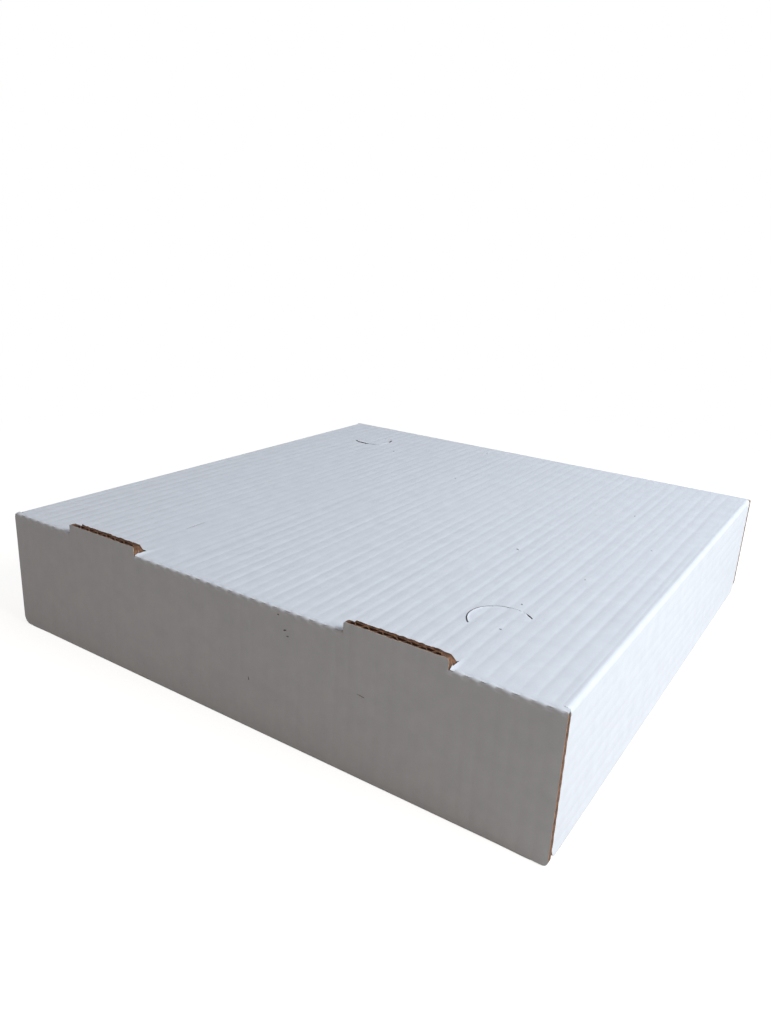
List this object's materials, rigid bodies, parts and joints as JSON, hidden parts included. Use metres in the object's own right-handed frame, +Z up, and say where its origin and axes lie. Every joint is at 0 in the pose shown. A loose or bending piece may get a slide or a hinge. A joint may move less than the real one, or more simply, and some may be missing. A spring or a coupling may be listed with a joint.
{
  "type": "corrugated pizza box",
  "caption": "Square white corrugated pizza box with a hinged lid, hanging lid flaps, half-moon push-in vents and lock tabs standing at the hinge crease.",
  "frame": {"origin": "middle of the box on the surface it stands on", "axes": "+X along the hinge wall to the right as seen from outside the hinge wall, +Y from the hinge wall to the front, +Z up"},
  "size_m": [0.305, 0.312, 0.0679],
  "materials": {
    "tray_board": "matt white paper liner on brown corrugated board",
    "lid_board": "matt white paper liner on brown corrugated board"
  },
  "bodies": {
    "tray": {"tray": "tray_board"},
    "lid": {"lid": "lid_board"},
    "front_flap": {"front_flap": "lid_board"},
    "right_side_flap": {"right_side_flap": "lid_board"},
    "left_side_flap": {"left_side_flap": "lid_board"},
    "right_vent_flap": {"right_vent_flap": "lid_board"},
    "left_vent_flap": {"left_vent_flap": "lid_board"}
  },
  "joints": [
    {"name": "lid_hinge", "type": "hinge", "parent": "tray", "child": "lid", "pos_m": [0, -0.156, 0.0635], "axis": [1, 0, 0], "range_deg": [0, 180]},
    {"name": "front_flap_crease", "type": "hinge", "parent": "lid", "child": "front_flap", "pos_m": [0, 0.156, 0.0635], "axis": [1, 0, 0], "range_deg": [0, 90]},
    {"name": "right_side_crease", "type": "hinge", "parent": "lid", "child": "right_side_flap", "pos_m": [0.1525, 0, 0.0635], "axis": [0, -1, 0], "range_deg": [0, 90]},
    {"name": "left_side_crease", "type": "hinge", "parent": "lid", "child": "left_side_flap", "pos_m": [-0.1525, 0, 0.0635], "axis": [0, 1, 0], "range_deg": [0, 90]},
    {"name": "right_vent_crease", "type": "hinge", "parent": "lid", "child": "right_vent_flap", "pos_m": [0.1042, -0.1077, 0.0607], "axis": [-0.7071, -0.7071, 0], "range_deg": [0, 90]},
    {"name": "left_vent_crease", "type": "hinge", "parent": "lid", "child": "left_vent_flap", "pos_m": [-0.1105, 0.114, 0.0607], "axis": [0.7071, 0.7071, 0], "range_deg": [0, 90]}
  ]
}
